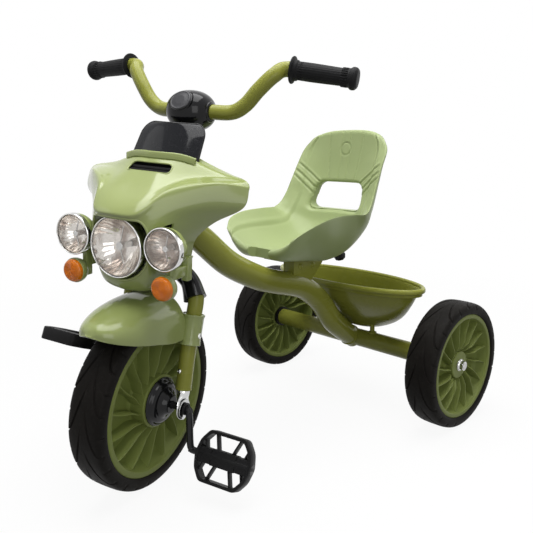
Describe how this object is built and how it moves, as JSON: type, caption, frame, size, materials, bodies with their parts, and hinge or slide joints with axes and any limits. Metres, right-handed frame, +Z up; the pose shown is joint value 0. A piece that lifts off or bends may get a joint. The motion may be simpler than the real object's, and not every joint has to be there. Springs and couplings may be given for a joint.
{
  "type": "tricycle",
  "caption": "Child's pedal tricycle with a faired and lamped front end, raised bars, bucket seat and an oval basket over the rear axle.",
  "frame": {"origin": "on the floor under the middle of the whole object's outline", "axes": "+Z up, -Y the way the tricycle faces, +X the rider's left"},
  "size_m": [0.484, 0.7183, 0.6246],
  "materials": {
    "olive_enamel": "gloss olive green enamel",
    "sage_gloss": "gloss sage green",
    "sage_satin": "satin pale sage green",
    "rim_green": "satin green",
    "tyre_foam": "black foam tyre",
    "black_plastic": "satin black",
    "gloss_black": "gloss black",
    "black_steel": "black enamel on steel",
    "zinc_steel": "zinc plated",
    "chrome": "bright chrome",
    "satin_badge": "satin grey, plain",
    "grip_rubber": "matte black",
    "clear_lens": "clear moulded lens",
    "amber_lens": "translucent amber",
    "smoked_screen": "dark smoked"
  },
  "bodies": {
    "frame": {"main_tube": "olive_enamel", "rear_axle_tube": "olive_enamel", "head_tube": "olive_enamel", "head_bearing_lower": "black_plastic", "head_bearing_upper": "black_plastic", "rear_axle_rod": "zinc_steel", "tube_bush_left": "black_plastic", "tube_bush_right": "black_plastic", "axle_nut_left": "chrome", "axle_nut_right": "chrome", "basket": "olive_enamel", "basket_post_left": "olive_enamel", "basket_post_right": "olive_enamel", "seat_bracket": "olive_enamel"},
    "seat_carriage": {"seat": "sage_satin", "seat_rail": "black_steel"},
    "seat_clamp_knob": {"seat_knob": "black_plastic"},
    "front_end": {"steerer": "zinc_steel", "fork_tube": "olive_enamel", "crown_cover": "gloss_black", "dropout_left": "chrome", "dropout_right": "chrome", "fender": "sage_gloss", "fender_screw_left": "chrome", "fender_screw_right": "chrome", "fairing": "sage_gloss", "fairing_liner": "black_plastic", "vent_grille": "black_plastic", "windscreen": "smoked_screen", "lamp_bracket": "sage_gloss", "headlamp_housing": "chrome", "headlamp_lens": "clear_lens", "side_lamp_left_housing": "sage_gloss", "side_lamp_left_lens": "clear_lens", "side_lamp_right_housing": "sage_gloss", "side_lamp_right_lens": "clear_lens", "indicator_left_housing": "sage_gloss", "indicator_left_lens": "amber_lens", "indicator_right_housing": "sage_gloss", "indicator_right_lens": "amber_lens", "stem_cover": "black_plastic", "handlebar": "olive_enamel", "handlebar_cover": "gloss_black", "handlebar_badge": "satin_badge", "grip_left": "grip_rubber", "grip_right": "grip_rubber"},
    "front_wheel": {"front_tyre": "tyre_foam", "front_rim": "rim_green", "hub_cap_left": "gloss_black", "hub_cap_right": "gloss_black", "crank": "black_steel"},
    "pedal_left_body": {"pedal_left": "black_plastic"},
    "pedal_right_body": {"pedal_right": "black_plastic"},
    "rear_wheel_left": {"rear_tyre_left": "tyre_foam", "rear_rim_left": "rim_green"},
    "rear_wheel_right": {"rear_tyre_right": "tyre_foam", "rear_rim_right": "rim_green"}
  },
  "joints": [
    {"name": "steering", "type": "hinge", "parent": "frame", "child": "front_end", "pos_m": [0, -0.1694, 0.3525], "axis": [0, 0.2334, 0.9724], "range_deg": [-65, 24]},
    {"name": "front_wheel_spin", "type": "hinge", "parent": "front_end", "child": "front_wheel", "pos_m": [0.00249, -0.22956, 0.1304], "axis": [0.9367, 0.3405, -0.0818], "continuous": true},
    {"name": "pedal_left_spin", "type": "hinge", "parent": "front_wheel", "child": "pedal_left_body", "pos_m": [0.12403, -0.18445, 0.05957], "axis": [0.9367, 0.3405, -0.0818], "continuous": true},
    {"name": "pedal_right_spin", "type": "hinge", "parent": "front_wheel", "child": "pedal_right_body", "pos_m": [-0.11906, -0.27467, 0.20122], "axis": [0.9367, 0.3405, -0.0818], "continuous": true},
    {"name": "rear_wheel_left_spin", "type": "hinge", "parent": "frame", "child": "rear_wheel_left", "pos_m": [0.215, 0.2515, 0.109], "axis": [1, 0, 0], "continuous": true},
    {"name": "rear_wheel_right_spin", "type": "hinge", "parent": "frame", "child": "rear_wheel_right", "pos_m": [-0.215, 0.2515, 0.109], "axis": [1, 0, 0], "continuous": true},
    {"name": "seat_adjust", "type": "slide", "parent": "frame", "child": "seat_carriage", "axis": [0, 0.9931, -0.1172], "range_m": [-0.018, 0.018]},
    {"name": "seat_knob_turn", "type": "hinge", "parent": "seat_carriage", "child": "seat_clamp_knob", "pos_m": [0, 0.1985, 0.277], "axis": [0, 1, 0], "range_deg": [-180, 180]}
  ]
}
